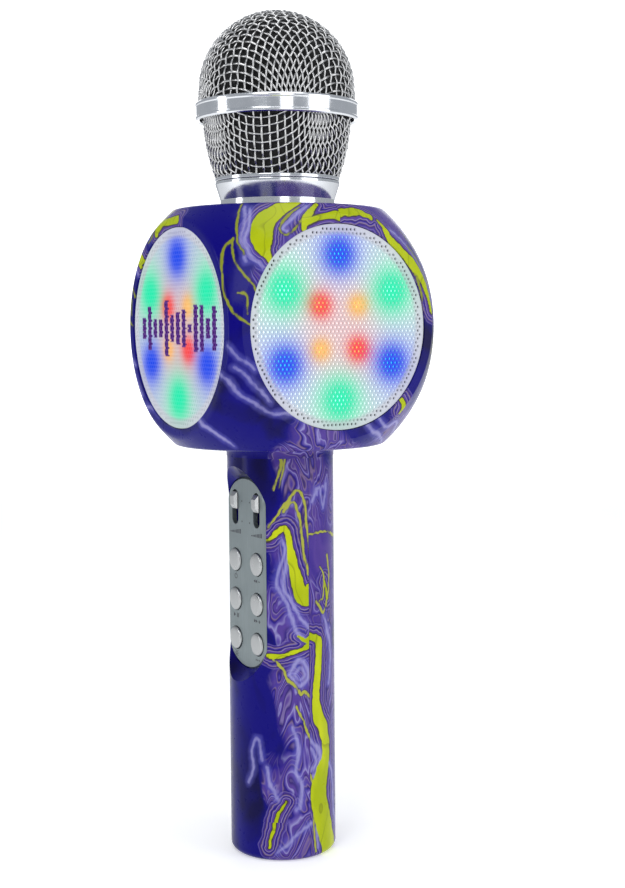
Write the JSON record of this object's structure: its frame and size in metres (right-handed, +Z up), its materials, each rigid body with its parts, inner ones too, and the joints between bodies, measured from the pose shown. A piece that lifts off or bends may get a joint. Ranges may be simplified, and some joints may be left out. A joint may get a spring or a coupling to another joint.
{
  "type": "toy karaoke microphone",
  "caption": "Handheld toy karaoke microphone with a cylindrical handle, button panel, rounded cube housing with lit speaker grilles and a screw-on wire ball head.",
  "frame": {"origin": "centre of the flat base, under the middle of the object's box", "axes": "+Z up along the handle's axis, control panel facing -Y, +X to the right of someone who faces the panel"},
  "size_m": [0.074, 0.074, 0.2706],
  "materials": {
    "marbled_plastic": "gloss marbled paint in navy, purple and lime under clear coat",
    "panel_silver": "satin silver-grey paint",
    "button_silver": "bright silver paint",
    "chrome_plate": "polished chrome plating",
    "wire_chrome": "chrome plated woven wire",
    "grille_white": "white paint on perforated sheet",
    "diffuser_white": "translucent white film",
    "white_board": "white solder mask",
    "led_lens": "clear lens over coloured light",
    "black_foam": "open cell foam",
    "black_rubber": "matt",
    "capsule_metal": "satin",
    "screw_steel": "zinc plated",
    "socket_steel": "nickel plated",
    "black_plastic": "matt",
    "green_board": "green solder mask",
    "battery_wrap": "heat-shrink sleeve",
    "speaker_steel": "black paint",
    "speaker_paper": "pressed paper",
    "magnet_black": "ferrite"
  },
  "bodies": {
    "microphone_body": {"battery_cell": "battery_wrap", "board_components": "black_plastic", "board_screws": "screw_steel", "capsule_mount": "black_rubber", "charging_socket": "socket_steel", "control_panel": "panel_silver", "diffuser_front": "diffuser_white", "diffuser_left": "diffuser_white", "diffuser_rear": "diffuser_white", "diffuser_right": "diffuser_white", "end_cap": "marbled_plastic", "end_cap_screws": "screw_steel", "handle_front_shell": "marbled_plastic", "handle_rear_shell": "marbled_plastic", "handle_screw": "screw_steel", "headphone_jack": "black_plastic", "housing_front_shell": "marbled_plastic", "housing_rear_shell": "marbled_plastic", "housing_screws": "screw_steel", "led_board_front": "white_board", "led_board_left": "white_board", "led_board_rear": "white_board", "led_board_right": "white_board", "leds_front": "led_lens", "leds_left": "led_lens", "leds_rear": "led_lens", "leds_right": "led_lens", "main_board": "green_board", "memory_card_socket": "socket_steel", "mic_capsule": "capsule_metal", "neck_collar": "chrome_plate", "slide_potentiometers": "socket_steel", "socket_board": "green_board", "speaker_cone_left": "speaker_paper", "speaker_cone_right": "speaker_paper", "speaker_frame_left": "speaker_steel", "speaker_frame_right": "speaker_steel", "speaker_gasket_left": "black_foam", "speaker_gasket_right": "black_foam", "speaker_grille_front": "grille_white", "speaker_grille_left": "grille_white", "speaker_grille_rear": "grille_white", "speaker_grille_right": "grille_white", "speaker_magnet_left": "magnet_black", "speaker_magnet_right": "magnet_black", "tact_switches": "black_plastic"},
    "button_top_left": {"button_top_left": "button_silver"},
    "button_top_right": {"button_top_right": "button_silver"},
    "button_middle_left": {"button_middle_left": "button_silver"},
    "button_middle_right": {"button_middle_right": "button_silver"},
    "button_bottom_left": {"button_bottom_left": "button_silver"},
    "button_bottom_right": {"button_bottom_right": "button_silver"},
    "slider_knob_left": {"slider_knob_left": "button_silver"},
    "slider_knob_right": {"slider_knob_right": "button_silver"},
    "head_lift": {"foam_liner": "black_foam"},
    "ball_head": {"grille_base_ring": "chrome_plate", "grille_bowl": "wire_chrome", "grille_ring": "chrome_plate", "grille_dome": "wire_chrome"}
  },
  "joints": [
    {"name": "press_top_left", "type": "slide", "parent": "microphone_body", "child": "button_top_left", "axis": [0, 1, 0], "range_m": [0, 0.0005], "stiffness_N_per_m": 500, "springref_m": -0.0008},
    {"name": "press_top_right", "type": "slide", "parent": "microphone_body", "child": "button_top_right", "axis": [0, 1, 0], "range_m": [0, 0.0005], "stiffness_N_per_m": 500, "springref_m": -0.0008},
    {"name": "press_middle_left", "type": "slide", "parent": "microphone_body", "child": "button_middle_left", "axis": [0, 1, 0], "range_m": [0, 0.0005], "stiffness_N_per_m": 500, "springref_m": -0.0008},
    {"name": "press_middle_right", "type": "slide", "parent": "microphone_body", "child": "button_middle_right", "axis": [0, 1, 0], "range_m": [0, 0.0005], "stiffness_N_per_m": 500, "springref_m": -0.0008},
    {"name": "press_bottom_left", "type": "slide", "parent": "microphone_body", "child": "button_bottom_left", "axis": [0, 1, 0], "range_m": [0, 0.0005], "stiffness_N_per_m": 500, "springref_m": -0.0008},
    {"name": "press_bottom_right", "type": "slide", "parent": "microphone_body", "child": "button_bottom_right", "axis": [0, 1, 0], "range_m": [0, 0.0005], "stiffness_N_per_m": 500, "springref_m": -0.0008},
    {"name": "slide_control_left", "type": "slide", "parent": "microphone_body", "child": "slider_knob_left", "axis": [0, 0, 1], "range_m": [-0.0048, 0.0005]},
    {"name": "slide_control_right", "type": "slide", "parent": "microphone_body", "child": "slider_knob_right", "axis": [0, 0, 1], "range_m": [-0.0048, 0.0005]},
    {"name": "head_lift_slide", "type": "slide", "parent": "microphone_body", "child": "head_lift", "axis": [0, 0, 1], "range_m": [0, 0.00451]},
    {"name": "head_unscrew", "type": "hinge", "parent": "head_lift", "child": "ball_head", "pos_m": [0, 0, 0.2416], "axis": [0, 0, 1], "range_deg": [0, 1080]}
  ],
  "couplings": [
    {"joint": "head_lift_slide", "follows": "head_unscrew", "m_per_rad": 0.00023873}
  ]
}
